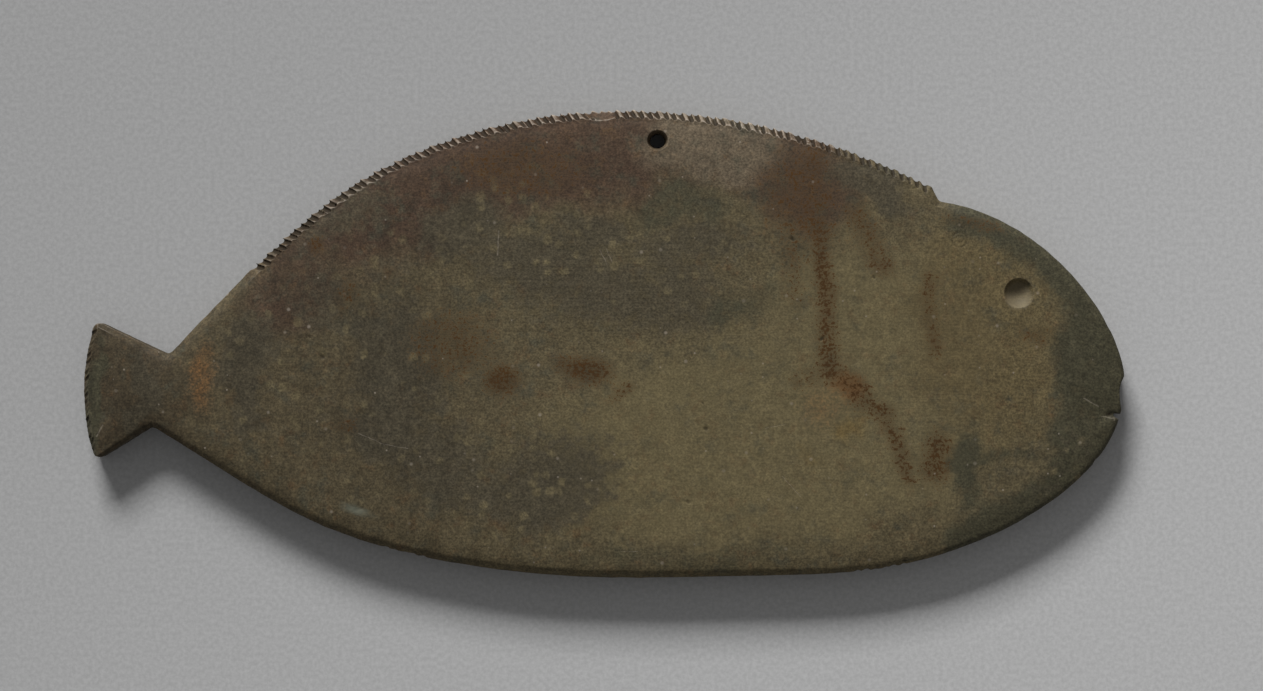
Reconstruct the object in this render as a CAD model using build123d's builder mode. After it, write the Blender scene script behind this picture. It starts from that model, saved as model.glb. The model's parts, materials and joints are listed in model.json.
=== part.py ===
from build123d import *
import os
from math import atan2, degrees, sin

# A cosmetic palette in the shape of a fish, ground and cut from one slab of dark greywacke.
# Eye paint was rubbed to powder on its face, and a cord through the hole in its back hung it up.
# It lies on its flat underside: +Z is up, +X runs to the snout, +Y to the crest of the back.
# The origin is on the underside, at the middle of the outline's box. All sizes are in millimetres.

# The slab
LENGTH = 220.0  # tail edge to snout
WIDTH = 99.0  # belly to the crest of the back
THICKNESS = 9.0  # at the middle of the face
CROWN_ALONG = 1.3  # how far the ground face falls from its middle to the snout and to the tail
CROWN_ACROSS = 0.9  # and from its middle to the back and to the belly
BEVEL_IN = 2.6  # bevel round the face, before the crown is ground: how far in from the rim
BEVEL_DOWN = 2.2  # and how far down the side
FOOT_BEVEL = 1.3  # bevel round the underside

# The tail
TAIL_REACH = 18.1  # tail edge to the waist, above
TAIL_SPAN = 30.4  # tip to tip, before the tips are rounded
TAIL_BULGE = 2.6  # how far the tail edge bows out
TAIL_LINE = -9.9  # height of the tail's middle line
TIP_ROUND = 1.8
WAIST_WIDTH = 15.4
WAIST_SKEW = 3.4  # the waist lies this much nearer the tail edge below than above
WAIST_ROUND = 1.5

# Stations of the outline: share of the length from the tail edge, share of the width from the belly
FIN = ((0.151, 0.638), (0.247, 0.825), (0.362, 0.947), (0.515, 1.0), (0.688, 0.947), (0.815, 0.836))
HEAD = ((0.822, 0.806), (0.879, 0.766), (0.946, 0.657), (0.987, 0.527), (1.0, 0.430))
JAW = ((0.985, 0.290), (0.937, 0.175), (0.860, 0.078))
BELLY = ((0.764, 0.018), (0.649, 0.004), (0.496, 0.0), (0.362, 0.029), (0.228, 0.112), (0.132, 0.231))

# The hatching sawn across the rim, one V notch after another
NOTCH_DEPTH = 0.8
NOTCH_WIDTH = 1.15
FINE_DEPTH = 0.5
FINE_WIDTH = 0.85
TAIL_DEPTH = 0.75
TAIL_WIDTH = 1.05
SLANT = 30.0  # degrees that a notch of the back leans, with its inner end nearer the head
TAIL_SLANT = 50.0
STRAY = 0.2  # how far the sawing hand strayed from even spacing
STRAY_TURN = 4.0  # and from the slant, in degrees
STRAY_DEPTH = 0.1  # and from one depth
STRAY_STEPS = (2.4, 4.1, 1.7)  # radians of each stray's wave from one notch to the next
HEAD_LIFT = 0.2  # how much shallower the back's notches end at the head
BACK_START = 26.0  # along the rim from the waist to the first notch of the back
BACK_PITCH = 1.55  # between its notches near the tail
HEAD_PITCH = 1.85  # and near the head
TAIL_PITCH = 1.25
ANAL_FIN = 0.793  # the middle of the fin under the belly, as a share of the rim from nape to waist
ANAL_COUNT = 5
VENTRAL_FIN = 0.444  # the middle of the fin under the head, in the same shares
VENTRAL_COUNT = 6
UNDER_PITCH = 2.0

# The cord hole, drilled from both faces so that it narrows to a throat
HOLE_AT = 0.667  # share of the rim of the back, from the waist
HOLE_INSET = 6.5  # from the rim
HOLE_MOUTH = 2.1  # radius at either face
HOLE_THROAT = 1.4  # radius of the narrow middle
THROAT_LENGTH = 3.0

# The eye is a drilled bowl, the mouth a sawn slit
EYE = (0.897, 0.608)  # a station
EYE_RADIUS = 3.1
EYE_DEPTH = 1.7
MOUTH_AT = 0.228  # share of the rim from nape to waist
MOUTH_LENGTH = 3.4
MOUTH_WIDTH = 0.8  # at the rim


def station(share):
    """The point of the plan at a share of the length and a share of the width."""
    along, up = share
    return Vector((along - 0.5) * LENGTH, (up - 0.5) * WIDTH)


def face_height(point):
    """How high the crowned face stands over a point of the plan."""
    along = 2 * point.X / LENGTH
    across = 2 * point.Y / WIDTH
    return THICKNESS - CROWN_ALONG * along**2 - CROWN_ACROSS * across**2


def rim_place(edge, distance, slant=0.0, inset=0.0):
    """A place at a distance along the rim and an inset from it, with x pointing out of the stone."""
    point = edge.position_at(distance, PositionMode.LENGTH)
    run = edge.tangent_at(distance, PositionMode.LENGTH)
    inward = Vector(run.Y, -run.X) * inset
    outward = degrees(atan2(run.Y, run.X)) + 90 + slant
    return Location(point + inward, (0, 0, outward))


def hatching(edge, start, end, first_pitch, last_pitch, slant, lift=0.0):
    """Places of the notches between two distances along the rim, at a pitch that changes evenly."""
    count = int(2 * (end - start) / (first_pitch + last_pitch))
    places = []
    for index in range(count + 1):
        along, about, into = (sin(step * index) for step in STRAY_STEPS)
        even = start + index * first_pitch + (last_pitch - first_pitch) * index**2 / (2 * count)
        distance = even + STRAY * along
        turn = STRAY_TURN * about
        inset = STRAY_DEPTH * into - lift * (index / count) ** 3
        places.append(rim_place(edge, distance, slant + turn, inset))
    return places


def notch_cutter(depth, width, down_the_side=True):
    """What one notch takes away: a V sawn along the bevel, and a V down the side of the slab."""
    rim = THICKNESS - BEVEL_DOWN
    bevel = Plane((0, 0, rim), x_dir=(BEVEL_DOWN, 0, BEVEL_IN), z_dir=(BEVEL_IN, 0, -BEVEL_DOWN))
    clear = 4 * depth
    spread = width / 2 * (depth + clear) / depth
    vee = ((-depth, 0), (clear, -spread), (clear, spread))
    with BuildPart() as cutter:
        with BuildSketch(bevel):
            Polygon(*vee, align=None)
        extrude(amount=2 * BEVEL_IN, both=True)
        if down_the_side:
            with BuildSketch():
                Polygon(*vee, align=None)
            extrude(amount=THICKNESS, both=True)
    return cutter.part


# The plan's corners at the tail
waist_top = Vector(TAIL_REACH - LENGTH / 2, TAIL_LINE + WAIST_WIDTH / 2)
waist_foot = Vector(TAIL_REACH - WAIST_SKEW - LENGTH / 2, TAIL_LINE - WAIST_WIDTH / 2)
tip_top = Vector(TAIL_BULGE - LENGTH / 2, TAIL_LINE + TAIL_SPAN / 2)
tip_foot = Vector(TAIL_BULGE - LENGTH / 2, TAIL_LINE - TAIL_SPAN / 2)

with BuildPart() as palette:
    # The slab, sawn and ground to the outline
    with BuildSketch() as plan:
        with BuildLine():
            back = Spline(waist_top, *map(station, FIN))
            Line(back @ 1, station(HEAD[0]))
            under = Spline(*map(station, HEAD + JAW + BELLY), waist_foot)
            Line(waist_foot, tip_foot)
            tail_edge = ThreePointArc(tip_foot, (-LENGTH / 2, TAIL_LINE), tip_top)
            Line(tip_top, waist_top)
        make_face()
        corners = plan.vertices().filter_by(lambda corner: corner.Y < station(FIN[0]).Y)
        waist = corners.sort_by(Axis.X)[2:4]
        fillet(waist, WAIST_ROUND)
    extrude(amount=THICKNESS)

    # The bevels round the face and the underside
    face = palette.faces().sort_by(Axis.Z)[-1]
    chamfer(face.edges(), length=BEVEL_IN, length2=BEVEL_DOWN, reference=face)
    chamfer(palette.faces().sort_by(Axis.Z)[0].edges(), length=FOOT_BEVEL)

    # The crown of the face: an arc along the stone, swung about a far lengthwise axis
    # Twice as far from the middle, a shallow arc has fallen four times as much
    with BuildSketch(Plane.XZ):
        with BuildLine():
            end_height = THICKNESS - 4 * CROWN_ALONG
            ThreePointArc((-LENGTH, end_height), (0, THICKNESS), (LENGTH, end_height))
            Polyline((LENGTH, end_height), (LENGTH, -THICKNESS), (-LENGTH, -THICKNESS), (-LENGTH, end_height))
        make_face()
    swing = (WIDTH / 2) ** 2 / (2 * CROWN_ACROSS)
    revolve(axis=Axis((0, 0, THICKNESS - swing), (1, 0, 0)), mode=Mode.INTERSECT)

    # The tail's rounded tips
    tips = palette.edges().filter_by(Axis.Z).sort_by(Axis.X)[:2]
    fillet(tips, TIP_ROUND)

    # The eye
    eye = station(EYE)
    bowl = (EYE_RADIUS**2 + EYE_DEPTH**2) / (2 * EYE_DEPTH)
    with Locations((eye.X, eye.Y, face_height(eye) - EYE_DEPTH + bowl)):
        Sphere(bowl, mode=Mode.SUBTRACT)

    # The cord hole
    hole = rim_place(back, HOLE_AT * back.length, inset=HOLE_INSET).position
    hole_top = face_height(hole)
    countersink = (hole_top - THROAT_LENGTH) / 2
    standing = (Align.CENTER, Align.CENTER, Align.MIN)
    hanging = (Align.CENTER, Align.CENTER, Align.MAX)
    with Locations(hole):
        Cylinder(HOLE_THROAT, hole_top, align=standing, mode=Mode.SUBTRACT)
        Cone(HOLE_MOUTH, HOLE_THROAT, countersink, align=standing, mode=Mode.SUBTRACT)
    with Locations(hole + Vector(0, 0, hole_top)):
        Cone(HOLE_THROAT, HOLE_MOUTH, countersink, align=hanging, mode=Mode.SUBTRACT)
        Cylinder(HOLE_MOUTH, THICKNESS, align=standing, mode=Mode.SUBTRACT)

    # The mouth
    with BuildSketch():
        with Locations(rim_place(under, MOUTH_AT * under.length)):
            Polygon(
                (-MOUTH_LENGTH, 0),
                (MOUTH_LENGTH, -MOUTH_WIDTH),
                (MOUTH_LENGTH, MOUTH_WIDTH),
                align=None,
            )
    extrude(amount=THICKNESS, mode=Mode.SUBTRACT)

    # The hatching of the back, the tail and the two fins below
    back_end = back.length - HEAD_PITCH
    tail_end = tail_edge.length - TAIL_BULGE
    fin_places = []
    for middle, count in ((ANAL_FIN, ANAL_COUNT), (VENTRAL_FIN, VENTRAL_COUNT)):
        first = middle * under.length - UNDER_PITCH * (count - 1) / 2
        last = first + UNDER_PITCH * (count - 1)
        fin_places += hatching(under, first, last, UNDER_PITCH, UNDER_PITCH, -SLANT)
    with Locations(*hatching(back, BACK_START, back_end, BACK_PITCH, HEAD_PITCH, SLANT, HEAD_LIFT)):
        add(notch_cutter(NOTCH_DEPTH, NOTCH_WIDTH), mode=Mode.SUBTRACT)
    with Locations(*hatching(tail_edge, TAIL_BULGE, tail_end, TAIL_PITCH, TAIL_PITCH, TAIL_SLANT)):
        add(notch_cutter(TAIL_DEPTH, TAIL_WIDTH, down_the_side=False), mode=Mode.SUBTRACT)
    with Locations(*fin_places):
        add(notch_cutter(FINE_DEPTH, FINE_WIDTH), mode=Mode.SUBTRACT)

print("palette", palette.part.is_valid, len(palette.solids()), palette.part.volume)
print("hole", hole, hole_top)
palette.part.label = "palette"
os.makedirs("parts", exist_ok=True)
export_step(palette.part, "parts/palette.step")
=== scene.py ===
# %% [markdown]
# A cosmetic palette in the shape of a fish, cut from one slab of dark greywacke. On the real one the
# shape was sawn and ground by hand, so no line is quite straight and no edge is sharp any more.
# The frame gives that shape exactly. This lesson takes a copy of it, wears and chips the copy as more
# than five thousand years have worn the stone, and then builds the stone's finish out of nodes.

# %% Load the frame
import json
from math import cos, radians, sin

import bmesh
import bpy
import numpy as np
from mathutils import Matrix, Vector
from mathutils.kdtree import KDTree


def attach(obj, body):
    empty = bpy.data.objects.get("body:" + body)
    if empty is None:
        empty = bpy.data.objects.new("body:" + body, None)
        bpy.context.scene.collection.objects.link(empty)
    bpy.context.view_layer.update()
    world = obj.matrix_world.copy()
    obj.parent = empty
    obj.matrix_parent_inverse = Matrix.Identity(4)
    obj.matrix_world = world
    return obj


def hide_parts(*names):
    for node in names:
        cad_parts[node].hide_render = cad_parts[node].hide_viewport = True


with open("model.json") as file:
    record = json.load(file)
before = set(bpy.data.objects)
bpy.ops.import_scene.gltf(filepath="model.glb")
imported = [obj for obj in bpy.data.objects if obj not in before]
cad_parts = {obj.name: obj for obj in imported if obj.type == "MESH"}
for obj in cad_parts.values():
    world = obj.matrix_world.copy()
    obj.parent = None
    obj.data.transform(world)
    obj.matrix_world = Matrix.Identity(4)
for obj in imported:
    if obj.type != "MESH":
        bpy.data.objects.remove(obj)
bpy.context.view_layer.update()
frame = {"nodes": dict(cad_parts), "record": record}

MM = 0.001

# %% [markdown]
# The photograph was taken from straight above, with the fish a little to the left of the middle.
# The frame's millimetres and the photograph's pixels are tied by the fish's own length, so a helper
# turns a pixel into a place on the stone, and the camera's view is as wide as the picture is.

# %% Camera
IMAGE_WIDTH = 1263
IMAGE_HEIGHT = 691
FISH_LENGTH = 220.0
FISH_PIXELS = 1044
FISH_MIDDLE = (604, 343.75)  # the pixel over the frame's origin
MM_PER_PIXEL = FISH_LENGTH / FISH_PIXELS
RIM_HEIGHT = 6.8  # how high the widest part of the outline lies
SENSOR = 36.0
LENS = 100.0
CLIP_START = 0.01  # metres


def place(across, down, height=0.0):
    """The place on the stone, in millimetres, that shows at a pixel of the photograph."""
    x = (across - FISH_MIDDLE[0]) * MM_PER_PIXEL
    y = (FISH_MIDDLE[1] - down) * MM_PER_PIXEL
    return np.array((x, y, height))


aim = place(IMAGE_WIDTH / 2, IMAGE_HEIGHT / 2)
view_width = IMAGE_WIDTH * MM_PER_PIXEL
camera_height = RIM_HEIGHT + LENS / SENSOR * view_width
camera = bpy.data.objects.new("camera", bpy.data.cameras.new("camera"))
camera.data.lens = LENS
camera.data.sensor_width = SENSOR
camera.data.clip_start = CLIP_START
camera.location = (aim[0] * MM, aim[1] * MM, camera_height * MM)
bpy.context.collection.objects.link(camera)
bpy.context.scene.camera = camera
print("camera", round(camera_height), "mm up, view", round(view_width), "mm wide")

# %% [markdown]
# The stone starts as a copy of the frame's mesh. That mesh is loose triangles, some of them long
# slivers, and nothing can be carved into slivers. A voxel remesh gives the copy small even faces, and
# rounds every arris by about one voxel, as wear does. The frame's own object stays as it is.

# %% Copy the slab and give it even faces
VOXEL = 0.22  # millimetres
WELD = 0.002  # millimetres within which two corners are one

node = frame["nodes"]["palette"]
cad_copy = bmesh.new()
cad_copy.from_mesh(node.data)
bmesh.ops.remove_doubles(cad_copy, verts=cad_copy.verts, dist=WELD * MM)
section = cad_copy.copy()
stone = bpy.data.objects.new("stone_fish", bpy.data.meshes.new("stone_fish"))
cad_copy.to_mesh(stone.data)
cad_copy.free()
bpy.context.collection.objects.link(stone)


def settle(piece):
    """Works a piece's modifiers into its mesh."""
    bpy.context.view_layer.update()
    graph = bpy.context.evaluated_depsgraph_get()
    old = piece.data
    piece.data = bpy.data.meshes.new_from_object(piece.evaluated_get(graph))
    piece.modifiers.clear()
    bpy.data.meshes.remove(old)
    print(piece.name, "has", len(piece.data.vertices), "vertices")


remesh = stone.modifiers.new("even faces", "REMESH")
remesh.mode = "VOXEL"
remesh.voxel_size = VOXEL * MM
settle(stone)

# %% [markdown]
# The carving below works on all the vertices at once, as rows of a table in millimetres. Two helpers
# read and write that table, and a third makes smooth noise, which gives every worn surface its lumps.

# %% Helpers for carving
LATTICE = 32  # noise repeats after so many lumps


def read_points(piece):
    """The vertices of a piece and their normals, in millimetres."""
    count = len(piece.data.vertices)
    points = np.empty(count * 3)
    normals = np.empty(count * 3)
    piece.data.vertices.foreach_get("co", points)
    piece.data.vertices.foreach_get("normal", normals)
    return points.reshape(-1, 3) / MM, normals.reshape(-1, 3)


def write_points(piece, points):
    """Moves the vertices of a piece to a table of points."""
    piece.data.vertices.foreach_set("co", (points * MM).ravel())
    piece.data.update()


def clouds(points, size, seed):
    """Smooth noise from -1 to 1 at each point, whose lumps are as large as the size says."""
    lattice = np.random.default_rng(seed).uniform(-1, 1, (LATTICE, LATTICE, LATTICE))
    cell = np.floor(points / size).astype(int)
    share = points / size - cell
    share = share * share * (3 - 2 * share)
    total = np.zeros(len(points))
    for corner in np.ndindex(2, 2, 2):
        weight = np.where(corner, share, 1 - share).prod(axis=1)
        x, y, z = ((cell + corner) % LATTICE).T
        total += weight * lattice[x, y, z]
    return total


def fade(value, full, none):
    """1 where the value is at full, 0 at none, and a smooth change between."""
    share = np.clip((value - none) / (full - none), 0, 1)
    return share * share * (3 - 2 * share)


# %% [markdown]
# How far a point lies from the rim decides how worn it is. The rim is found by cutting the frame's
# copy with a level plane, and a search tree over the cut's points gives the distance for each vertex.

# %% Measure from the rim
SECTION_HEIGHT = 3.0
SECTION_SLACK = 0.0001
HOLE_CLEAR = 3.0  # the cut's points this near the cord hole belong to its wall
LONG_EDGE = 0.8  # edges of the cut that are longer than this are divided
EDGE_CUTS = 6

level = bmesh.ops.bisect_plane(
    section,
    geom=section.verts[:] + section.edges[:] + section.faces[:],
    plane_co=(0, 0, SECTION_HEIGHT * MM),
    plane_no=(0, 0, 1),
)
cut_edges = [edge for edge in level["geom_cut"] if isinstance(edge, bmesh.types.BMEdge)]
long_edges = [edge for edge in cut_edges if edge.calc_length() > LONG_EDGE * MM]
bmesh.ops.subdivide_edges(section, edges=long_edges, cuts=EDGE_CUTS)
on_level = [vertex for vertex in section.verts if abs(vertex.co.z / MM - SECTION_HEIGHT) < SECTION_SLACK]
rim = [vertex.co.xy.to_3d() / MM for vertex in on_level]
section.free()
(hole_mount,) = (mount for mount in frame["record"]["mounts"] if mount["name"] == "suspension_hole")
hole = Vector(hole_mount["pos_m"][:2]).to_3d() / MM
rim = [spot for spot in rim if (spot - hole).length > HOLE_CLEAR]
rim_tree = KDTree(len(rim))
for index, spot in enumerate(rim):
    rim_tree.insert(spot, index)
rim_tree.balance()


def rim_distance(points):
    """How far each point lies from the rim, seen from above, in millimetres."""
    return np.array([rim_tree.find(spot)[2] for spot in points * (1, 1, 0)])


points, normals = read_points(stone)
from_rim = rim_distance(points)
print("rim points", len(rim), "deepest point", round(from_rim.max(), 1), "mm inside")

# %% [markdown]
# Rubbing the face with a grinding pebble left it very gently domed, and it rolls over towards the rim
# more and more. The frame's dome is made of flat facets, so vertices near it are lifted or lowered on
# to the true dome first. The roll-off, the dip across the waist and the slow waves of hand grinding
# are then smooth moves down into the stone, never out of it, so the piece stays inside its frame.

# %% The ground face
THICKNESS = 9.0
CROWN_ALONG = 1.3
CROWN_ACROSS = 0.9
FISH_WIDTH = 99.0
UPPER = (5.5, 3.5)  # stone above the first height counts as the face, and below the second as the side
ON_DOME = (0.06, 0.14)  # a vertex this near the dome is moved on to it, and one this far isn't
ROLL_DROP = 0.45
ROLL_START = 2.0  # millimetres inside the rim
ROLL_REACH = 3.2
WAIST_X = -97.0
WAIST_DIP = 0.35
WAIST_SPREAD = 1.9
WAVES = ((0.10, 17, 1), (0.035, 5, 2))


def dome_height(x, y):
    """How high the domed face stands over a place of the plan."""
    return THICKNESS - CROWN_ALONG * (2 * x / FISH_LENGTH) ** 2 - CROWN_ACROSS * (2 * y / FISH_WIDTH) ** 2


def worn_away(points, rows):
    """How deep each point is worn. A row is a depth, and the size and the seed of its lumps."""
    return sum(depth * (1 + clouds(points, size, seed)) for depth, size, seed in rows)


upper = fade(points[:, 2], *UPPER)
off_dome = dome_height(points[:, 0], points[:, 1]) - points[:, 2]
points[:, 2] += off_dome * fade(abs(off_dome), *ON_DOME) * upper
inside_roll = np.maximum(from_rim, ROLL_START) - ROLL_START
points[:, 2] -= upper * ROLL_DROP * np.exp(-(inside_roll / ROLL_REACH))
points[:, 2] -= upper * WAIST_DIP * np.exp(-(((points[:, 0] - WAIST_X) / WAIST_SPREAD) ** 2))
waves = worn_away(points, WAVES)
points -= normals * waves[:, None]
print("waves are", round(waves.min(), 2), "to", round(waves.max(), 2), "mm deep")

# %% [markdown]
# Chips are bites that a knock took out of the stone. Each is an ellipsoid: what lies inside it is
# pushed on to its far wall, along the way that the blow went. Noise makes the bite's edge ragged.

# %% Chips
RAGGED = 0.25
EDGE_LUMPS = 0.5  # the smallest lumps of a bite's edge, in millimetres
EDGE_SHARE = 0.6  # and their size as a share of the bite's smaller half size
WALL_LUMPS = 0.7
WALL_RAGGED = 0.3  # how ragged the far wall is, as a share of the edge
BITE_TOP = -1.6  # how far above its middle a bite still takes stone, in depths


def bite(points, centre, size, outward, lean, ragged, seed):
    """Pushes the stone in an ellipsoid to its far wall. A lean of 90 is a blow from the rim, level."""
    out = np.array((cos(radians(outward)), sin(radians(outward)), 0))
    along = np.array((out[1], -out[0], 0))
    down = np.array((0, 0, -cos(radians(lean)))) - out * sin(radians(lean))
    across = np.cross(down, along)
    offset = points - centre
    u, v, w = (offset @ axis / reach for axis, reach in zip((along, across, down), size))
    wobble = 1 + ragged * clouds(points, max(EDGE_LUMPS, min(size[:2]) * EDGE_SHARE), seed)
    inside = 1 - (u**2 + v**2) * wobble**2
    wall = 1 + WALL_RAGGED * ragged * clouds(points, WALL_LUMPS, seed + 1)
    far_wall = np.sqrt(np.clip(inside, 0, 1)) * wall
    near = (inside > 0) & (w < far_wall) & (w > BITE_TOP)
    points[near] += ((far_wall - w)[near] * size[2])[:, None] * down
    return int(near.sum())


# A chip's pixel and height; its half length along the rim, half width and depth; where outward is, in
# degrees; how far the blow leant outward; and how ragged the edge is
CHIPS = (
    ((600, 112, 7.3), (3.8, 3.6, 1.25), 90, 50, RAGGED),  # flake off the hatching near the crest
    ((357, 510, 8.3), (2.2, 0.75, 0.30), 106, 0, RAGGED),  # shallow flake by the belly
    ((688, 502, 8.75), (1.3, 0.75, 0.45), 78, 0, RAGGED),  # crescent pit
    ((621, 577, 7.0), (2.9, 1.7, 0.75), -90, 50, RAGGED),  # bite out of the lower rim
    ((1128.8, 399, 4.5), (4.4, 9.0, 1.85), 8, 90, 0.08),  # the recessed upper lip
    ((1110, 414.4, 7.6), (0.42, 1.9, 1.3), 8, 0, RAGGED),  # the shallow inner end of the mouth
    ((1098, 462, 4.5), (1.0, 4.0, 0.35), -38, 80, RAGGED),  # nick in the rim below the mouth
    ((905, 562, 6.4), (0.9, 0.9, 0.45), -76, 50, RAGGED),  # nick in the rim under the head
    ((760, 128, 7.2), (0.7, 0.8, 0.35), 76, 50, RAGGED),  # nick in the hatching
)
CHIP_SEED = 20
for number, (spot, size, outward, lean, ragged) in enumerate(CHIPS):
    hit = bite(points, place(*spot), size, outward, lean, ragged, CHIP_SEED + 2 * number)
    print("chip at", spot[:2], "moved", hit, "vertices")

# %% [markdown]
# The face also has small shallow pits, where grains of the stone fell out. They lie anywhere, so chance
# picks their places and sizes, from a fixed seed that gives the same pits each time.

# %% Pits
PITS = 28
PITTED = ((-85, -35), (95, 38))  # two opposite corners, in millimetres
PIT_RADII = (0.3, 0.75)
PIT_WIDTHS = (0.6, 1.0)  # of the radius
PIT_DEPTH = 0.22  # of the radius
PIT_SINK = 0.1  # how far a pit's middle lies under the dome
PIT_SEED = 90

draw = np.random.default_rng(11)
pitted = 0
for number in range(PITS):
    x, y = draw.uniform(*PITTED)
    radius = draw.uniform(*PIT_RADII)
    size = (radius, radius * draw.uniform(*PIT_WIDTHS), radius * PIT_DEPTH)
    centre = np.array((x, y, dome_height(x, y) - PIT_SINK))
    pitted += bite(points, centre, size, draw.uniform(0, 360), 0, RAGGED, PIT_SEED + number)
print(PITS, "pits moved", pitted, "vertices")

# %% [markdown]
# Two faint rings, one inside the other, are scratched into the head in front of the back's step. Each is
# a groove, deepest at its own radius from the middle.

# %% The scratched rings
RING_MIDDLE = place(959, 240)
RINGS = ((1.55, 0.11), (0.8, 0.08))  # radius and depth
RING_SPREAD = 0.22

from_ring = np.hypot(*(points - RING_MIDDLE)[:, :2].T)
for radius, depth in RINGS:
    points[:, 2] -= upper * depth * np.exp(-(((from_ring - radius) / RING_SPREAD) ** 2))
print("rings at", RING_MIDDLE.round(1))

# %% [markdown]
# The saw cuts of the hatching are all alike in the frame. Hands and age made them differ: noise about
# as large as one cut lowers some ridges more than others, and only close to the rim.

# %% Wear on the hatching and the edges
NEAR_RIM = (1.5, 3.5)  # full wear up to the first distance from the rim, none past the second
RIM_WEAR = ((0.06, 1.9, 3), (0.03, 0.7, 4))

worn = fade(from_rim, *NEAR_RIM) * worn_away(points, RIM_WEAR)
points -= normals * worn[:, None]
points[:, 2] = np.maximum(points[:, 2], 0)
write_points(stone, points)
print("the rim is worn by up to", round(worn.max(), 2), "mm")

# %% [markdown]
# One pass of smoothing rounds what the carving left jagged. Handling has also rounded the edge of the
# face: the crease inside the bevel is worn quite away round the head, the belly and the tail, and only
# the hatched back keeps it. Repeated steps towards the mean of a vertex's neighbours do that.

# %% Smooth, and round the edge of the face
CREASE = 2.0  # how far in from the rim
CREASE_SPREAD = 1.9
ROUNDING = 0.7  # millimetres that the smoothing reaches
STEP_SHARE = 0.7  # of the way to the neighbours' mean, in one step
HATCHED = ((-75, 71), (3, 50))  # the back, along and across
HATCHED_BLEND = 3  # over so many millimetres outside it the crease fades
TAIL_EDGE = (-105, -102)  # the tail's cuts are kept too
ROUNDED = (6.2, 4.8)  # from the first height up the crease is rounded, and below the second it isn't

soften = stone.modifiers.new("soften", "SMOOTH")
soften.factor = 0.5
soften.iterations = 1
settle(stone)

points, normals = read_points(stone)
ends = np.empty(2 * len(stone.data.edges), dtype=int)
stone.data.edges.foreach_get("vertices", ends)
one_end, other_end = ends.reshape(-1, 2).T
valence = np.bincount(ends, minlength=len(points))


def mean_of_neighbours(values):
    """For each vertex, the mean of a value over the vertices that share an edge with it."""
    total = np.bincount(one_end, values[other_end], len(values))
    return (total + np.bincount(other_end, values[one_end], len(values))) / valence


sharp = np.ones(len(points))
for axis, (low, high) in zip(points.T, HATCHED):
    sharp *= fade(axis, low, low - HATCHED_BLEND) * fade(axis, high, high + HATCHED_BLEND)
sharp = np.maximum(sharp, fade(points[:, 0], *TAIL_EDGE))
on_crease = np.exp(-(((from_rim - CREASE) / CREASE_SPREAD) ** 2))
rounded = fade(points[:, 2], *ROUNDED) * on_crease * (1 - sharp)
steps = int(3 * (ROUNDING / VOXEL) ** 2)  # smoothing reaches as far as the root of its steps
for step in range(steps):
    means = np.array([mean_of_neighbours(row) for row in points.T]).T
    points += STEP_SHARE * rounded[:, None] * (means - points)
write_points(stone, points)
points, normals = read_points(stone)
print("rounded the edge in", steps, "steps")

# %% [markdown]
# The finish has to know how much each vertex stands proud of the surface around it, because ridges are
# laid paler, partly as wear and partly as a painted highlight, and hollows are laid darker. The surface
# around a vertex is the mean of its neighbours, taken a few times over. A number like that is kept on
# the mesh as an attribute, which a material can read.

# %% Store what stands proud
PASSES = 8
around = points.T.copy()
for step in range(PASSES):
    around = np.array([mean_of_neighbours(row) for row in around])
proud = ((points - around.T) * normals).sum(axis=1)


def store(piece, name, values):
    """Keeps one number per vertex on a piece, for its material."""
    attribute = piece.data.attributes.new(name, "FLOAT", "POINT")
    attribute.data.foreach_set("value", values.astype(np.float32))


store(stone, "proud", proud)
print("proud from", round(proud.min(), 3), "to", round(proud.max(), 3), "mm")

# %% [markdown]
# Stains lie at known places on the face. Each place is an oval or a stroke, and the union of a set of
# them is one number on each vertex, from 0 to 1. The plan is shaken by noise before they are measured,
# so that none keeps a clean outline. The mesh is fine enough for that, and the finish adds the grain.

# %% Helpers for places of colours
SHAKES = ((9.0, 2.4, 31), (4.0, 1.6, 33), (1.8, 0.9, 35))  # size of the lumps, how far they push, seed
RUSTY_SHARE = 0.4  # rust keeps closer to its place than the patina does
OVAL_EDGE = (0.4, 1.6)  # whole up to the first share of its half size, gone at the second

flat = points * (1, 1, 0)
ragged_plan = flat.copy()
for size, push, seed in SHAKES:
    ragged_plan[:, 0] += push * clouds(flat, size, seed)
    ragged_plan[:, 1] += push * clouds(flat, size, seed + 1)
rusty_plan = flat + RUSTY_SHARE * (ragged_plan - flat)


def ovals(rows, plan=ragged_plan):
    """The union of some ovals: a pixel, half sizes in millimetres, a turn in degrees and a weight."""
    mask = np.zeros(len(plan))
    for pixel, (length, width), turn, weight in rows:
        x, y, z = (plan - place(*pixel)).T
        u = (x * cos(radians(turn)) + y * sin(radians(turn))) / length
        v = (y * cos(radians(turn)) - x * sin(radians(turn))) / width
        mask = np.maximum(mask, weight * fade(np.hypot(u, v), *OVAL_EDGE))
    return mask


def strokes(rows, plan):
    """The union of some strokes: the pixels of the start and the end, a half width and a weight."""
    mask = np.zeros(len(plan))
    for start, end, width, weight in rows:
        start = place(*start)
        whole = place(*end) - start
        share = np.clip((plan - start) @ whole / (whole @ whole), 0, 1)
        apart = plan - start - share[:, None] * whole
        mask = np.maximum(mask, weight * fade(np.hypot(apart[:, 0], apart[:, 1]), 0, width))
    return mask


print("the plan is shaken by up to", round(np.hypot(*(ragged_plan - flat)[:, :2].T).max(), 1), "mm")

# %% [markdown]
# The patina's places come first. It is calm and olive right of the middle and brown under the crest, it
# is thin in islands, and it is worn off round the head, beside it and along the belly. Some of the thin
# places keep pale round cells.

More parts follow.
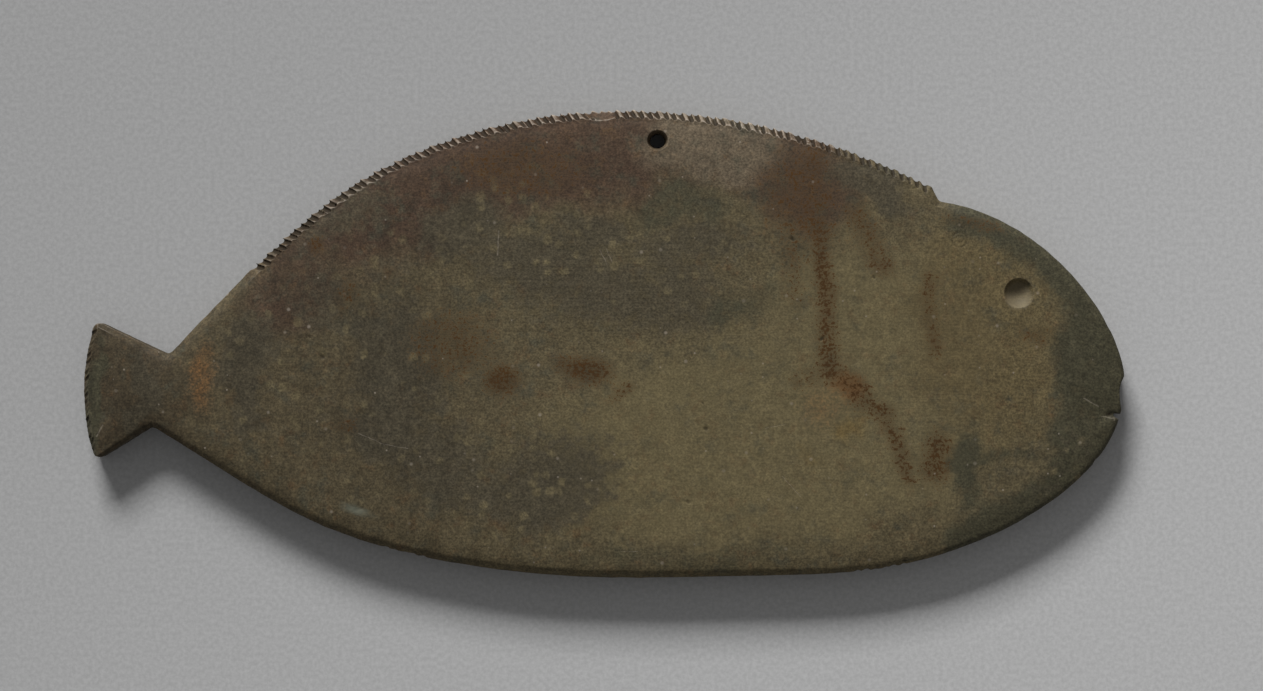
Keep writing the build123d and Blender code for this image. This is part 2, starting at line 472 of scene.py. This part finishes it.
# %% Places of the patina
CALM = (
    ((770, 440), (46, 24), 8, 1.0),
    ((880, 330), (26, 20), 0, 0.9),
    ((640, 440), (20, 14), 0, 0.6),
)
CREST = (
    ((520, 150), (40, 13), 0, 1.0),
    ((385, 205), (24, 12), 32, 0.9),
    ((290, 285), (14, 10), 46, 0.7),
    ((800, 178), (16, 11), -20, 0.8),
)
THIN_AREAS = (
    ((590, 232), (10, 4.0), 5, 0.85),
    ((470, 225), (12, 7.0), 10, 0.85),
    ((540, 265), (16, 7.0), -8, 0.8),
    ((640, 300), (22, 9.0), -4, 0.75),
    ((690, 250), (18, 6.0), 0, 0.7),
    ((545, 485), (17, 11), 20, 0.85),
    ((440, 470), (15, 10), -20, 0.75),
    ((395, 360), (11, 19), 10, 0.8),
    ((250, 345), (7.5, 7.0), 20, 1.0),
    ((248, 400), (3.0, 8.0), 4, 1.0),
    ((256, 418), (5.0, 1.6), 0, 0.9),
    ((320, 300), (9.0, 8.0), 0, 0.65),
    ((385, 430), (9.0, 7.0), 0, 0.85),
    ((375, 375), (5.0, 6.0), 30, 0.8),
    ((340, 220), (13, 6.0), 38, 0.65),
    ((880, 190), (12, 4.0), -24, 0.8),
    ((142, 395), (2.6, 11), 0, 0.9),
    ((1000, 380), (6.0, 9.0), 0, 0.35),
)
BARE_AREAS = (
    ((680, 207), (11, 5.6), 8, 0.75),
    ((745, 304), (11, 3.8), 14, 0.7),
    ((968, 455), (3.6, 12), 8, 1.0),
    ((1010, 452), (11, 2.4), -4, 0.85),
    ((1100, 355), (9.0, 20), -8, 1.0),
    ((1085, 440), (11, 9.0), 32, 0.95),
    ((1030, 515), (18, 5.0), 28, 0.8),
    ((680, 562), (34, 3.4), 0, 0.6),
    ((94, 390), (2.4, 15), 0, 1.0),
)
CELL_AREAS = (
    ((545, 485), (20, 13), 20, 1.0),
    ((600, 265), (30, 10), 0, 0.9),
    ((520, 225), (16, 9.0), 0, 0.8),
    ((1045, 468), (11, 8.0), 20, 1.0),
    ((400, 400), (18, 22), 0, 0.9),
    ((290, 380), (22, 18), 0, 0.9),
    ((420, 290), (20, 14), 30, 0.7),
    ((960, 225), (8, 4), -16, 0.6),
)
LINED_AREAS = (
    ((620, 285), (26, 14), 0, 1.0),
    ((880, 400), (30, 20), 0, 0.5),
)
# Ridges in these places are painted pale, partly as wear and partly as a painted highlight on the rim that
# faces the lamp: the crest, the back before it and the tail's upper flank.
RUBBED_AND_LIT_AREAS = (
    ((600, 125), (62, 7), 0, 1.0),
    ((380, 180), (36, 7), 32, 0.6),
    ((130, 340), (9, 3), -28, 0.6),
)
print(len(THIN_AREAS), "thin places,", len(BARE_AREAS), "bare ones")

# %% [markdown]
# Rust ran down the face from the crest in a long broken streak with shorter ones beside it, and it left
# patches elsewhere. Where it is thick it turns orange, and beside it there is a little ochre.

# %% Places of the rust
RUST_STROKES = (
    ((815, 160), (820, 236), 8.0, 0.6),
    ((825, 230), (826, 330), 3.6, 1.0),
    ((826, 330), (829, 372), 4.6, 1.0),
    ((831, 372), (862, 402), 4.4, 1.0),
    ((862, 402), (888, 418), 3.2, 0.9),
    ((888, 418), (914, 478), 3.0, 0.8),
    ((858, 215), (886, 268), 4.5, 0.7),
    ((928, 275), (934, 350), 3.0, 0.65),
    ((800, 384), (828, 376), 3.4, 0.8),
    ((790, 170), (795, 300), 4.5, 0.5),
)
RUST_PATCHES = (
    ((886, 414), (2.4, 2.0), 0, 1.0),
    ((937, 455), (2.8, 5.5), 4, 0.9),
    ((503, 381), (3.4, 3.2), 0, 1.0),
    ((585, 370), (6.5, 2.4), -8, 1.0),
    ((625, 392), (3.0, 1.4), 40, 0.7),
    ((317, 250), (1.6, 2.0), 0, 0.8),
    ((348, 295), (2.0, 3.0), 0, 0.7),
    ((350, 430), (2.6, 2.0), 0, 0.7),
    ((800, 195), (9.0, 10), 0, 0.5),
    ((1040, 335), (4.0, 2.0), 0, 0.6),
    ((975, 225), (7.0, 1.4), -16, 0.5),
    ((455, 345), (9.0, 7.0), 0, 0.55),
    ((520, 170), (14, 6.0), 0, 0.5),
)
ORANGE_AREAS = (
    ((845, 388), (4.0, 3.0), -40, 0.8),
    ((203, 380), (2.8, 7.0), 0, 0.65),
    ((826, 300), (1.6, 14), 0, 0.4),
    ((820, 410), (5.0, 5.0), 0, 0.35),
)
OCHRE_AREAS = (
    ((850, 432), (4.0, 3.4), 0, 0.9),
    ((812, 452), (4.0, 2.0), 0, 0.6),
)
print(len(RUST_STROKES), "streaks of rust,", len(RUST_PATCHES), "patches")

# %% [markdown]
# Now each set of places becomes an attribute of the mesh. Two masks also use a distance: the bare band
# follows the head's rim, and the places of the pale ridges, partly wear and partly painted highlight,
# stop short of the cord hole. All of them fade out down the sides of the slab.

# %% Store the places
FACE_SIDE = (6.0, 3.0)  # whole above the first height, gone below the second
HEAD_BAND = (3, 11)  # how far in from the rim the bare band is whole, and where it ends
BAND_LUMPS = (1.5, 5, 41)  # how far noise shifts its edge, the size of the lumps, seed
HEAD_START = (76, 66)  # where along the fish it is whole, and where it ends
HOLE_RIM = (3.2, 2.4)  # rubbed beyond the first distance from the hole's middle, not within the second

push, size, seed = BAND_LUMPS
head_band = fade(from_rim + push * clouds(flat, size, seed), *HEAD_BAND)
head_band *= fade(points[:, 0], *HEAD_START)
from_hole = np.hypot(*(flat - np.array(hole))[:, :2].T)
PATCHES = {
    "calm": ovals(CALM),
    "head": ovals((((985, 330), (17, 24), 0, 0.9),)),
    "crest": ovals(CREST),
    # the paler patch under the crest is painted sheen
    "sheen": ovals((((705, 150), (16, 7), -8, 0.9),)),
    "thin": ovals(THIN_AREAS),
    "bare": np.maximum(ovals(BARE_AREAS), head_band),
    "cells": ovals(CELL_AREAS),
    "rust": np.maximum(strokes(RUST_STROKES, rusty_plan), ovals(RUST_PATCHES, rusty_plan)),
    "orange": ovals(ORANGE_AREAS, rusty_plan),
    "ochre": ovals(OCHRE_AREAS),
    "lined": ovals(LINED_AREAS),
    "fresh": ovals((((357, 510), (2.4, 0.75), -16, 1.0),), flat),
    "eye": ovals((((1018, 296), (2.9, 2.9), 0, 1.0),), flat),
    "rubbed_and_lit": ovals(RUBBED_AND_LIT_AREAS, flat) * fade(from_hole, *HOLE_RIM),
}
face_side = fade(points[:, 2], *FACE_SIDE)
for name, mask in PATCHES.items():
    store(stone, name, mask * face_side)
print("stored", list(PATCHES))

# %% [markdown]
# The even faces were needed for carving only. A collapse keeps small faces where the shape is fine and
# makes large ones elsewhere, and it carries the stored numbers along.

# %% Thin the mesh
MOST_TRIANGLES = 190000

thin = stone.modifiers.new("thin", "DECIMATE")
thin.ratio = MOST_TRIANGLES / (2 * len(stone.data.polygons))
thin.use_collapse_triangulate = True
settle(stone)
for face in stone.data.polygons:
    face.use_smooth = True
print(stone.name, "has", len(stone.data.polygons), "triangles")

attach(stone, "root")
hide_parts("palette")

# %% [markdown]
# A material is a tree of nodes. Written out link by link it would be hard to read, so short helpers
# make a node and feed it in one line. A value that is a socket is linked, and a plain one is set.

# %% Helpers for nodes


def feed(tree, socket, value):
    """Links a socket into another one, or sets a plain value on it."""
    if isinstance(value, bpy.types.NodeSocket):
        tree.links.new(value, socket)
    elif value is not None:
        socket.default_value = value


def add(tree, kind, *values, **settings):
    """A new node with its first inputs fed in order."""
    made = tree.nodes.new("ShaderNode" + kind)
    for name, setting in settings.items():
        setattr(made, name, setting)
    for socket, value in zip(made.inputs, values):
        feed(tree, socket, value)
    return made


def maths(tree, operation, *values):
    """What a Math node makes of some values."""
    return add(tree, "Math", *values, operation=operation).outputs[0]


def vectors(tree, operation, *values):
    """What a Vector Math node makes of some vectors."""
    made = add(tree, "VectorMath", *values, operation=operation)
    return made.outputs["Value" if operation in ("DOT_PRODUCT", "DISTANCE") else "Vector"]


def scaled(tree, vector, scale):
    """A vector or a colour times a number."""
    made = add(tree, "VectorMath", vector, operation="SCALE")
    feed(tree, made.inputs["Scale"], scale)
    return made.outputs[0]


def times_plus(tree, value, factor, more):
    """A value times a factor, plus more."""
    return add(tree, "Math", value, factor, more, operation="MULTIPLY_ADD").outputs[0]


def remap(tree, value, low, high, to_low=0.0, to_high=1.0):
    """A value's smooth change between two limits, as a share or between two other values."""
    made = add(tree, "MapRange", value, low, high, to_low, to_high, interpolation_type="SMOOTHSTEP")
    return made.outputs[0]


def noise(tree, where, size, detail, roughness):
    """Noise whose lumps are about as many millimetres across as the size says."""
    made = add(tree, "TexNoise", where)
    for name, value in (("Scale", 1 / size), ("Detail", detail), ("Roughness", roughness)):
        made.inputs[name].default_value = value
    return made.outputs


def cell_pattern(tree, where, size, feature):
    """A Voronoi texture whose cells are about as many millimetres across as the size says."""
    made = add(tree, "TexVoronoi", where, feature=feature)
    made.inputs["Scale"].default_value = 1 / size
    return made


def lay(tree, colour, mask, over):
    """A colour laid over another where the mask is white."""
    mix = tree.nodes.new("ShaderNodeMix")
    mix.data_type = "RGBA"
    feed(tree, mix.inputs["Factor"], mask)
    under_colour, over_colour = mix.inputs[6:8]
    feed(tree, under_colour, colour)
    feed(tree, over_colour, over)
    return mix.outputs[2]


def lay_some(tree, colour, mask, strength, over):
    """A colour laid over another, but only as strongly as a number says where the mask is white."""
    return lay(tree, colour, maths(tree, "MULTIPLY", mask, strength), over)


SHEEN = 0.009  # what the surface's sheen adds to every shade
LIFT = 1.14  # how much lighter a colour is than it looks in this light
BLACKEST = 0.002


def tone(red, green, blue):
    """The colour that looks like a shade on a scale to 255, as a painter would match it."""
    shade = np.array((red, green, blue)) / 255
    linear = np.where(shade > 0.04045, ((shade + 0.055) / 1.055) ** 2.4, shade / 12.92)
    return (*((linear - SHEEN).clip(BLACKEST) * LIFT).tolist(), 1.0)


def new_group(name, inputs, outputs):
    """An empty node group with named sockets, and its two end nodes."""
    group = bpy.data.node_groups.new(name, "ShaderNodeTree")
    for socket, kind in inputs.items():
        group.interface.new_socket(socket, in_out="INPUT", socket_type="NodeSocket" + kind)
    for socket, kind in outputs.items():
        group.interface.new_socket(socket, in_out="OUTPUT", socket_type="NodeSocket" + kind)
    return group, group.nodes.new("NodeGroupInput").outputs, group.nodes.new("NodeGroupOutput").inputs


def use(tree, group, **values):
    """A group placed in a tree, with its inputs fed by name."""
    made = tree.nodes.new("ShaderNodeGroup")
    made.node_tree = group
    for name, value in values.items():
        feed(tree, made.inputs[name], value)
    return made.outputs


# %% [markdown]
# A scratch is finer than the mesh, so it is drawn by nodes: a group gives a stroke from a start to an end.
# Its edge is clean, and noise shakes the place that it is given, so a scratch wanders and breaks up.

# %% A group for scratches
stroke_group, given, gives = new_group(
    "stroke", {"Place": "Vector", "Start": "Vector", "End": "Vector", "Width": "Float"}, {"Mask": "Float"}
)
gone = vectors(stroke_group, "SUBTRACT", given["Place"], given["Start"])
whole = vectors(stroke_group, "SUBTRACT", given["End"], given["Start"])
share = maths(
    stroke_group,
    "DIVIDE",
    vectors(stroke_group, "DOT_PRODUCT", gone, whole),
    vectors(stroke_group, "DOT_PRODUCT", whole, whole),
)
share = add(stroke_group, "Clamp", share).outputs[0]
apart = vectors(stroke_group, "DISTANCE", gone, scaled(stroke_group, whole, share))
feed(stroke_group, gives["Mask"], remap(stroke_group, apart, 0.0, given["Width"], 1.0, 0.0))
print("groups", [group.name for group in bpy.data.node_groups])

# %% [markdown]
# The stone itself comes first: dark grey-green greywacke under an olive-brown patina. Everything is
# drawn on Object coordinates, turned to millimetres, so a size in the noise is a size on the stone.

# %% Places on the stone
finish = bpy.data.materials.new("greywacke")
finish.use_nodes = True
tree = finish.node_tree
shader = tree.nodes["Principled BSDF"]
solid_place = scaled(tree, tree.nodes.new("ShaderNodeTexCoord").outputs["Object"], 1 / MM)
plan_place = vectors(tree, "MULTIPLY", solid_place, (1, 1, 0))
height_here = add(tree, "SeparateXYZ", solid_place).outputs["Z"]
upper_side = remap(tree, height_here, *reversed(FACE_SIDE))


def moved(by):
    """A place on the stone moved by some millimetres, so that a noise there is a new one."""
    return vectors(tree, "ADD", solid_place, by)


def shaken(size, amount):
    """The plan's place, moved about by noise so that what is drawn on it gets a ragged edge."""
    push = noise(tree, plan_place, size, 4, 0.65)["Color"]
    push = vectors(tree, "SUBTRACT", push, (0.5, 0.5, 0.5))
    push = vectors(tree, "MULTIPLY", push, (amount, amount, 0))
    return vectors(tree, "ADD", plan_place, push)


def stored(name):
    """A number that the mesh carries."""
    return add(tree, "Attribute", attribute_name=name).outputs["Fac"]


# %% [markdown]
# Nothing on the face has a clean border. A stored mask only says where a colour gathers: noise is added
# to it and the sum is cut off at a level, so that inside it the colour is nearly whole, at its edge it
# breaks into islands, and beyond it a few specks are left. One helper draws them all like that.

# %% Noises, and masks broken by them
broad = noise(tree, solid_place, 30, 3, 0.55)["Fac"]
middle = noise(tree, solid_place, 7, 6, 0.65)["Fac"]
small = noise(tree, moved((40, 70, 10)), 2.4, 5, 0.68)["Fac"]
fine = noise(tree, solid_place, 0.8, 3, 0.65)["Fac"]
sand = noise(tree, moved((7, 21, 3)), 0.42, 2, 0.6)["Fac"]


def gathered(mask, grains, spread, low, high):
    """A mask whose border is broken by noise: the sum of both, from none at low to whole at high."""
    return remap(tree, times_plus(tree, grains, spread, mask), low, high)


print("noises from 30 to 0.42 mm")

# %% [markdown]
# The patina's own colour drifts over the face: olive and smooth right of the middle, browner and duller
# towards the tail, dark brown under the crest. One paler grey patch under the crest is not patina but
# painted sheen, where the face rolls towards the lamp. These changes are broad and soft, with no edge
# anywhere.

# %% Patina
KHAKI = tone(84, 76, 58)
OLIVE = tone(97, 88, 65)
DULL = tone(79, 71, 55)
BROWN = tone(71, 58, 48)
TAIL_TONE = tone(63, 56, 45)
HEAD_TONE = tone(90, 80, 58)
PAINTED_SHEEN_TONE = tone(92, 82, 68)


def soft(name):
    """A stored mask with wide edges, a little uneven."""
    return gathered(stored(name), middle, 0.7, 0.5, 1.2)


calm = soft("calm")
colour = lay(tree, KHAKI, calm, OLIVE)
colour = lay(tree, colour, soft("head"), HEAD_TONE)
along = add(tree, "SeparateXYZ", shaken(5.0, 7.0)).outputs["X"]
colour = lay(tree, colour, remap(tree, along, -5.0, -60.0, 0.0, 0.9), DULL)
colour = lay(tree, colour, soft("crest"), BROWN)
# painted sheen: a paler grey patch under the crest, where the face rolls towards the lamp
colour = lay(tree, colour, soft("sheen"), PAINTED_SHEEN_TONE)
colour = lay(tree, colour, remap(tree, along, -82.0, -96.0, 0.0, 0.85), TAIL_TONE)
print("patina:", len(tree.nodes), "nodes so far")

# %% [markdown]
# Up close the patina is a mix of flecks: redder, greyer, paler and darker. Noises of four sizes darken
# and lighten it, and two more turn its flecks to rust brown or to the cool grey of the stone. Towards
# the tail the flecks stand upright. The calm part right of the middle gets less of this than the rest.

# %% Flecks in the patina
REDDISH = tone(86, 68, 49)
COOL = tone(66, 65, 55)
lively = remap(tree, calm, 0.0, 1.0, 1.0, 0.65)
SHADES = ((middle, 0.93, 1.07), (small, 0.82, 1.18), (fine, 0.78, 1.22), (sand, 0.70, 1.30))
TALL = (1.0, 0.35, 1.0)  # squeezing the place across the fish makes a noise's lumps tall

upright = noise(tree, vectors(tree, "MULTIPLY", solid_place, TALL), 3.4, 4, 0.62)["Fac"]
uprights = maths(tree, "MULTIPLY", upright, remap(tree, along, 0.0, -40.0))
reds = noise(tree, moved((13, 5, 60)), 3.2, 5, 0.72)["Fac"]
cools = noise(tree, moved((90, 31, 8)), 4.6, 5, 0.70)["Fac"]
colour = lay_some(tree, colour, remap(tree, reds, 0.52, 0.72, 0.0, 0.6), lively, REDDISH)
colour = lay_some(tree, colour, remap(tree, cools, 0.50, 0.72, 0.0, 0.75), lively, COOL)
shades = remap(tree, uprights, 0.35, 0.65, 1.06, 0.88)
for value, low, high in SHADES:
    shades = maths(tree, "MULTIPLY", shades, remap(tree, value, 0.3, 0.7, low, high))
shades = times_plus(tree, maths(tree, "SUBTRACT", shades, 1.0), lively, 1.0)
print("flecks:", len(tree.nodes), "nodes so far")

# %% [markdown]
# Where the patina is thin the dark grey-green stone shows: a band round the head with a finger beside
# it, islands across the middle, uprights at the left and a strip along the belly. The sides and the
# underside, which hands and paint touched less, are half bare too.

# %% Bare dark stone
DARK = tone(63, 61, 49)
THIN = tone(68, 63, 52)  # patina thin enough for the dark stone to show through

islands = times_plus(tree, middle, 0.45, maths(tree, "MULTIPLY", small, 0.55))
thin_patina = gathered(stored("thin"), islands, 2.0, 1.35, 1.80)
colour = lay_some(tree, colour, thin_patina, 0.85, THIN)
below = maths(tree, "MULTIPLY", remap(tree, upper_side, 1.0, 0.0), remap(tree, broad, 0.45, 0.62))
below = maths(tree, "MULTIPLY", below, remap(tree, small, 0.45, 0.65))
bare = maths(tree, "MAXIMUM", gathered(stored("bare"), islands, 2.0, 1.35, 1.95), below)
colour = lay_some(tree, colour, bare, 0.92, DARK)
print("bare stone:", len(tree.nodes), "nodes so far")

# %% [markdown]
# In most of the thin places the patina is left as pale round cells. A Voronoi texture divides the face
# into cells, and only those whose own random colour is light enough are drawn. A second one, which
# gives the distance to the nearest border, draws dark veins between the cells.

# %% Cells and veins
PALE_CELL = tone(98, 89, 67)
CELL_SIZE = 2.8
VEIN_SIZE = 3.6

cells = cell_pattern(tree, shaken(1.6, 1.6), CELL_SIZE, "SMOOTH_F1")
cells.inputs["Smoothness"].default_value = 0.3
cell_tint = add(tree, "SeparateColor", cells.outputs["Color"]).outputs[0]
pale_cells = maths(tree, "MULTIPLY", stored("cells"), remap(tree, cells.outputs["Distance"], 0.45, 0.20))
pale_cells = maths(tree, "MULTIPLY", pale_cells, remap(tree, cell_tint, 0.40, 0.75))
colour = lay_some(tree, colour, pale_cells, 0.75, PALE_CELL)

veins = cell_pattern(tree, shaken(2.2, 3.0), VEIN_SIZE, "DISTANCE_TO_EDGE")
vein = maths(tree, "MULTIPLY", remap(tree, veins.outputs["Distance"], 0.12, 0.02), upper_side)
vein = maths(tree, "MULTIPLY", vein, remap(tree, small, 0.42, 0.62))
vein_strength = remap(tree, stored("cells"), 0.0, 1.0, 0.15, 0.6)
colour = lay_some(tree, colour, vein, vein_strength, THIN)
print("cells and veins:", len(tree.nodes), "nodes so far")

# %% [markdown]
# Rust has run down the face in streaks and lies in small patches. It sits in the pores of the stone, so
# it is all grains: close together along the middle of a streak, and scattered beyond its edge.

# %% Rust and ochre
RUST = tone(60, 44, 29)
RUST_STAIN = tone(82, 66, 46)
ORANGE = tone(103, 74, 47)
OCHRE = tone(99, 82, 50)

pores = times_plus(tree, sand, 0.35, maths(tree, "MULTIPLY", small, 0.2))
pores = times_plus(tree, fine, 0.45, pores)
stained = stored("rust")
colour = lay(tree, colour, remap(tree, stained, 0.05, 0.9, 0.0, 0.42), RUST_STAIN)
colour = lay(tree, colour, gathered(stored("orange"), pores, 1.5, 0.85, 1.85), ORANGE)
rust = maths(tree, "MULTIPLY", gathered(stained, pores, 8.0, 4.45, 5.25), remap(tree, stained, 0.03, 0.3))
colour = lay_some(tree, colour, rust, 0.95, RUST)
colour = lay_some(tree, colour, gathered(stored("ochre"), small, 0.8, 0.6, 1.4), 0.6, OCHRE)
print("rust:", len(tree.nodes), "nodes so far")

# %% [markdown]
# The sand grains, paler and darker than the ground between them, multiply the colour that is there by
# now. Fine level lines left by grinding do so too. A noise squeezed hard across the fish and drawn out
# along it makes the lines.

# %% Grain and grinding lines
DRAWN_OUT = (0.10, 2.4, 1.0)
LINE_STRENGTH = 0.9

lines = noise(tree, vectors(tree, "MULTIPLY", solid_place, DRAWN_OUT), 1.0, 3, 0.6)["Fac"]
line_strength = maths(tree, "MULTIPLY", stored("lined"), LINE_STRENGTH)
shades = times_plus(tree, maths(tree, "SUBTRACT", lines, 0.5), line_strength, shades)
colour = scaled(tree, colour, shades)
print("grain:", len(tree.nodes), "nodes so far")

# %% [markdown]
# Each scratch is one stroke of the group, and the union of all of them is laid over the stone faintly. A
# noise breaks them up, as a scratch that skipped over the grains is broken.

# %% Scratches
PALE = tone(160, 149, 136)
SCRATCHES = (
    ((359, 433), (385, 444), 0.16),
    ((385, 444), (408, 448), 0.12),
    ((499, 231), (498, 255), 0.24),
    ((600, 250), (607, 264), 0.16),
    ((606, 248), (612, 262), 0.14),
    ((621, 551), (638, 551), 0.12),
    ((782, 476), (800, 496), 0.12),
    ((765, 428), (785, 424), 0.1),
    ((1083, 398), (1098, 406), 0.2),
    ((1102, 416.2), (1115, 418.4), 0.24),
    ((97, 436), (103, 425), 0.3),
)
scratch_place = shaken(1.2, 0.5)
scratched = 0.0
for start, end, width in SCRATCHES:
    start, end = (tuple(place(*pixel).tolist()) for pixel in (start, end))
    made = use(tree, stroke_group, Place=scratch_place, Start=start, End=end, Width=width)["Mask"]
    scratched = maths(tree, "MAXIMUM", scratched, made)
scratched = maths(tree, "MULTIPLY", scratched, upper_side)
scratched = maths(tree, "MULTIPLY", scratched, remap(tree, fine, 0.35, 0.6, 0.3, 1.0))
print("scratches:", len(tree.nodes), "nodes so far")

# %% [markdown]
# A few bright specks are grains of quartz. Each is the middle of a Voronoi cell whose random colour is
# light enough, so that most cells have none. Specks and scratches are the same pale shade.

# %% Bright specks
SPECKS = ((2.4, 0.72, 0.5), (4.4, 0.45, 0.4))  # size of a cell, the share of cells with none, strength

speck = 0.0
for size, share, strength in SPECKS:
    specks = cell_pattern(tree, solid_place, size, "F1")
    speck_tint = add(tree, "SeparateColor", specks.outputs["Color"]).outputs[0]
    rare = remap(tree, speck_tint, share, 0.95, 0.0, strength)
    made = maths(tree, "MULTIPLY", remap(tree, specks.outputs["Distance"], 0.12, 0.04), rare)
    speck = maths(tree, "MAXIMUM", speck, made)
colour = lay_some(tree, colour, speck, lively, PALE)
colour = lay_some(tree, colour, scratched, 0.28, PALE)
print("specks:", len(tree.nodes), "nodes so far")

# %% [markdown]
# Wear and painted light come last, because they go through everything. The flake by the belly is fresh
# grey-green stone. The eye's bowl is paler, partly as stone worn clean and partly as painted light for
# its brightly lit lower wall. Ridges are paler, partly from wear and partly as a painted highlight where
# the upper rim faces the lamp, and hollows are darker. Both of the last read how far the mesh stands
# proud.

# %% Wear, painted highlight and darker hollows
FRESH = tone(98, 100, 88)
BOWL_WEAR_AND_LIGHT = tone(116, 107, 88)
HOLLOW_DARK = tone(38, 33, 26)
RIDGE = (0.02, 0.12)  # how proud a ridge starts to be rubbed, and is rubbed most, in millimetres
HOLLOW = (-0.015, -0.10)

proud_here = stored("proud")
rub_and_light_strength = remap(tree, stored("rubbed_and_lit"), 0.0, 1.0, 0.05, 0.8)
colour = lay_some(tree, colour, stored("fresh"), 0.8, FRESH)
# the eye's bowl is paler: partly stone worn clean, partly painted light for its brightly lit lower wall
colour = lay_some(tree, colour, remap(tree, stored("eye"), 0.3, 0.8), 0.6, BOWL_WEAR_AND_LIGHT)
# ridges painted pale: partly wear, partly a painted highlight, strongest on the upper rim that faces the
# lamp
colour = lay_some(tree, colour, remap(tree, proud_here, *RIDGE), rub_and_light_strength, PALE)
# hollows are laid darker, the deeper the darker
colour = lay_some(tree, colour, remap(tree, proud_here, *HOLLOW), 0.8, HOLLOW_DARK)
feed(tree, shader.inputs["Base Color"], colour)
print("wear:", len(tree.nodes), "nodes so far")

# %% [markdown]
# Ground greywacke has a faint sheen, a little stronger where the stone is bare and weaker in the rust.
# The grinding left fine lines along the fish, and the sand grains stand a little proud: both are height.

# %% Roughness and relief
RUST_DULLER = 0.12
BARE_BRIGHTER = 0.06
SPECULAR = 0.20
RELIEF_HEIGHT = 0.15  # millimetres
RELIEF_STRENGTH = 0.5

roughness = times_plus(tree, rust, RUST_DULLER, remap(tree, middle, 0.3, 0.7, 0.66, 0.78))
roughness = times_plus(tree, bare, -BARE_BRIGHTER, roughness)
feed(tree, shader.inputs["Roughness"], roughness)
shader.inputs["Specular IOR Level"].default_value = SPECULAR
relief = times_plus(tree, fine, 0.55, maths(tree, "MULTIPLY", lines, 0.35))
relief = times_plus(tree, scratched, -0.5, relief)
bump = tree.nodes.new("ShaderNodeBump")
bump.inputs["Strength"].default_value = RELIEF_STRENGTH
bump.inputs["Distance"].default_value = RELIEF_HEIGHT * MM
feed(tree, bump.inputs["Height"], relief)
feed(tree, shader.inputs["Normal"], bump.outputs["Normal"])
stone.data.materials.clear()
stone.data.materials.append(finish)
print("finish", finish.name, "has", len(tree.nodes), "nodes")

# %% [markdown]
# The ground is a plain sheet of grey paper with the fish lying flat on it. Fibres make it a little
# uneven. Its grey is also painted darker towards the lamp's corner and paler towards the far one, a
# painted change of light, because the lamp alone would make that corner paler than it is in the
# photograph.

# %% Floor
FLOOR_SIZE = 1.5  # metres from the middle to an edge
FLOOR_GREY = 0.395
FIBRE_SIZE = 0.9
FIBRE_CONTRAST = 0.09
FALL_ACROSS = 0.75  # how much the grey changes along the fish for each change across it
FALL_REACH = 200.0  # millimetres
FALL_FROM = 0.83
FALL_TO = 1.20

floor_mesh = bmesh.new()
bmesh.ops.create_grid(floor_mesh, x_segments=1, y_segments=1, size=FLOOR_SIZE)
floor = bpy.data.objects.new("floor", bpy.data.meshes.new("floor"))
floor_mesh.to_mesh(floor.data)
floor_mesh.free()
bpy.context.collection.objects.link(floor)
paper = bpy.data.materials.new("paper")
paper.use_nodes = True
sheet = paper.node_tree
paper_place = scaled(sheet, sheet.nodes.new("ShaderNodeTexCoord").outputs["Object"], 1 / MM)
fibre = noise(sheet, paper_place, FIBRE_SIZE, 4, 0.7)["Fac"]
darkest, palest = FLOOR_GREY * (1 - FIBRE_CONTRAST), FLOOR_GREY * (1 + FIBRE_CONTRAST)
grey = remap(sheet, fibre, 0.3, 0.7, darkest, palest)
paper_axes = add(sheet, "SeparateXYZ", paper_place).outputs
# painted light and shade: the paper's grey changes from the lamp's corner to the far one
painted_light_fall = maths(sheet, "SUBTRACT", maths(sheet, "MULTIPLY", paper_axes["X"], FALL_ACROSS), paper_axes["Y"])
grey = maths(sheet, "MULTIPLY", grey, remap(sheet, painted_light_fall, -FALL_REACH, FALL_REACH, FALL_FROM, FALL_TO))
paper_shader = sheet.nodes["Principled BSDF"]
feed(sheet, paper_shader.inputs["Base Color"], grey)
paper_shader.inputs["Roughness"].default_value = 0.9
floor.data.materials.append(paper)
print("floor", 2 * FLOOR_SIZE, "m wide")

# %% [markdown]
# The light is one large soft lamp beyond the top of the picture, low enough that the slab's shadow falls
# towards the bottom. A weak even light from all round keeps the shadow from going black.

# %% Lamp and room
LAMP_PLACE = (-0.75, 2.80, 1.48)
LAMP_SIZE = (1.3, 0.8)
LAMP_WATTS = 150
ROOM_LIGHT = 0.22

lamp = bpy.data.objects.new("lamp", bpy.data.lights.new("lamp", "AREA"))
lamp.data.shape = "RECTANGLE"
lamp.data.size, lamp.data.size_y = LAMP_SIZE
lamp.data.energy = LAMP_WATTS
lamp.location = LAMP_PLACE
lamp.rotation_euler = (-Vector(LAMP_PLACE)).to_track_quat("-Z", "Y").to_euler()
bpy.context.collection.objects.link(lamp)

world = bpy.data.worlds.new("room")
world.use_nodes = True
background = world.node_tree.nodes["Background"].inputs
background["Color"].default_value = (1, 1, 1, 1)
background["Strength"].default_value = ROOM_LIGHT
bpy.context.scene.world = world
bpy.context.scene.view_settings.view_transform = "Standard"
print("lamp", round(Vector(LAMP_PLACE).length, 1), "m away")
